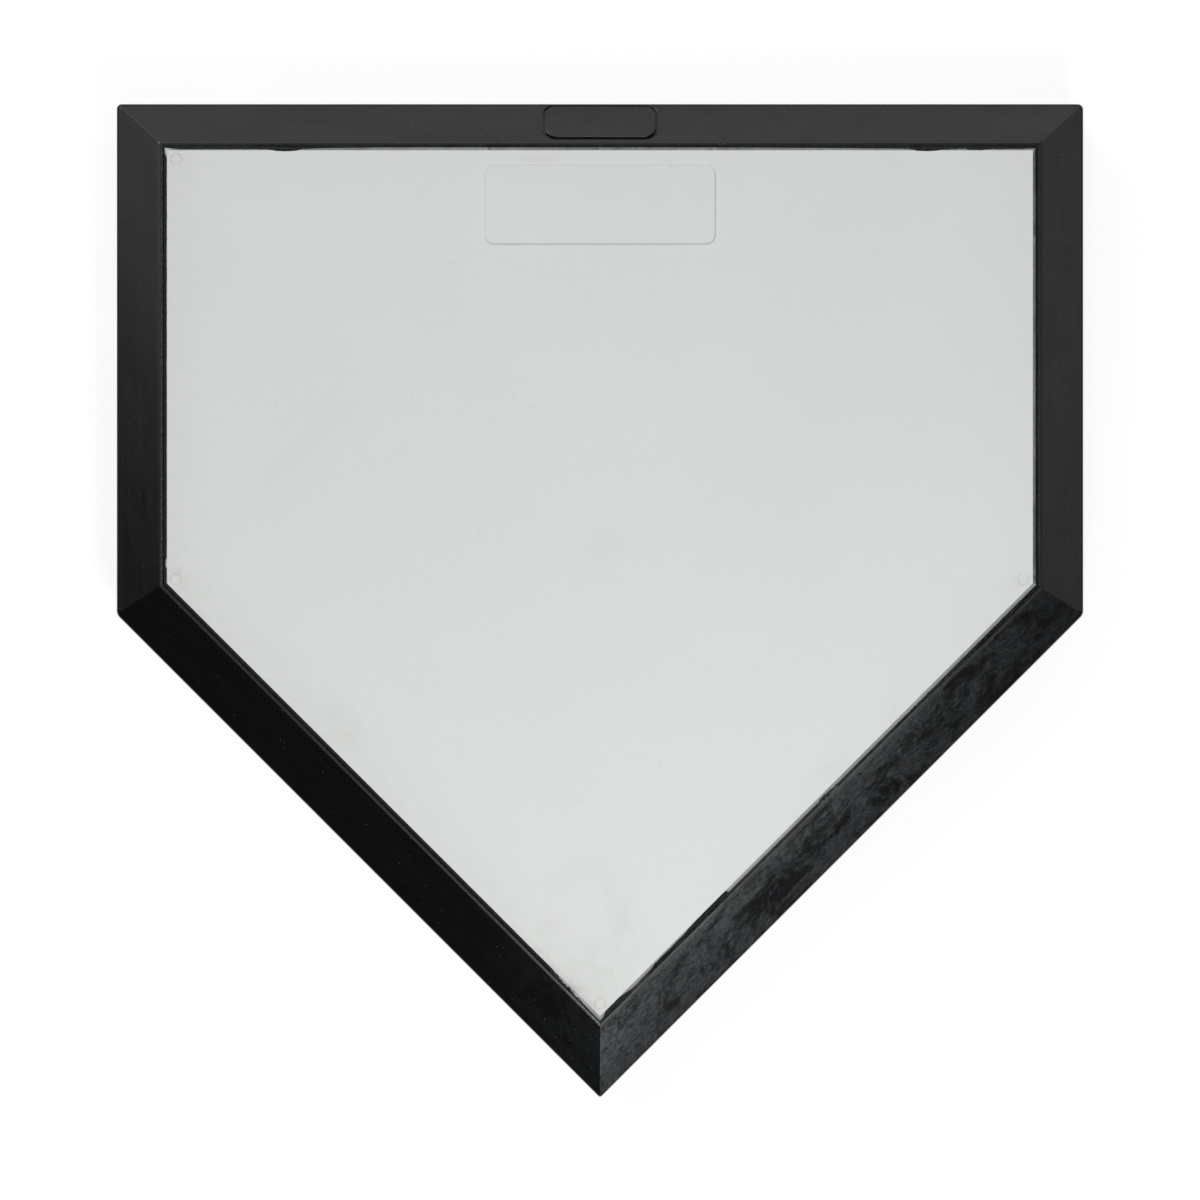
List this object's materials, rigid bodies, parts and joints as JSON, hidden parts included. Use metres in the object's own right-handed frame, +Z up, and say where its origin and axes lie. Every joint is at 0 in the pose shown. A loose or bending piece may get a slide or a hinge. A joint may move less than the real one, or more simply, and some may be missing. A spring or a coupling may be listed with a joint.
{
  "type": "home plate",
  "caption": "Ball-field home plate: a white rubber pentagon held in a bevelled black rubber body, with a wood-filled underside that is nailed in through the skirt and set in the ground.",
  "frame": {"origin": "middle of the part's box in plan, on the plane of its underside", "axes": "+Z up out of the white face, +Y towards the straight front edge, -Y towards the point, +X to the right"},
  "size_m": [0.4858, 0.4985, 0.064],
  "materials": {
    "white_rubber": "moulded, matt, faintly mottled",
    "black_rubber": "moulded, satin, with grey smudges of bloom",
    "treated_wood": "sawn, pressure treated",
    "galvanised_steel": "hot-dip galvanised"
  },
  "bodies": {
    "root": {"white_plate": "white_rubber", "rubber_body": "black_rubber", "front_board": "treated_wood", "middle_board": "treated_wood", "shoulder_board": "treated_wood", "point_board": "treated_wood", "front_nail_1": "galvanised_steel", "front_nail_2": "galvanised_steel", "front_nail_3": "galvanised_steel", "front_nail_4": "galvanised_steel", "front_nail_5": "galvanised_steel", "left_nail_1": "galvanised_steel", "left_nail_2": "galvanised_steel", "left_nail_3": "galvanised_steel", "left_nail_4": "galvanised_steel", "left_slant_nail_1": "galvanised_steel", "left_slant_nail_2": "galvanised_steel", "left_slant_nail_3": "galvanised_steel", "left_slant_nail_4": "galvanised_steel", "right_nail_1": "galvanised_steel", "right_nail_2": "galvanised_steel", "right_nail_3": "galvanised_steel", "right_nail_4": "galvanised_steel", "right_slant_nail_1": "galvanised_steel", "right_slant_nail_2": "galvanised_steel", "right_slant_nail_3": "galvanised_steel", "right_slant_nail_4": "galvanised_steel"}
  },
  "joints": []
}
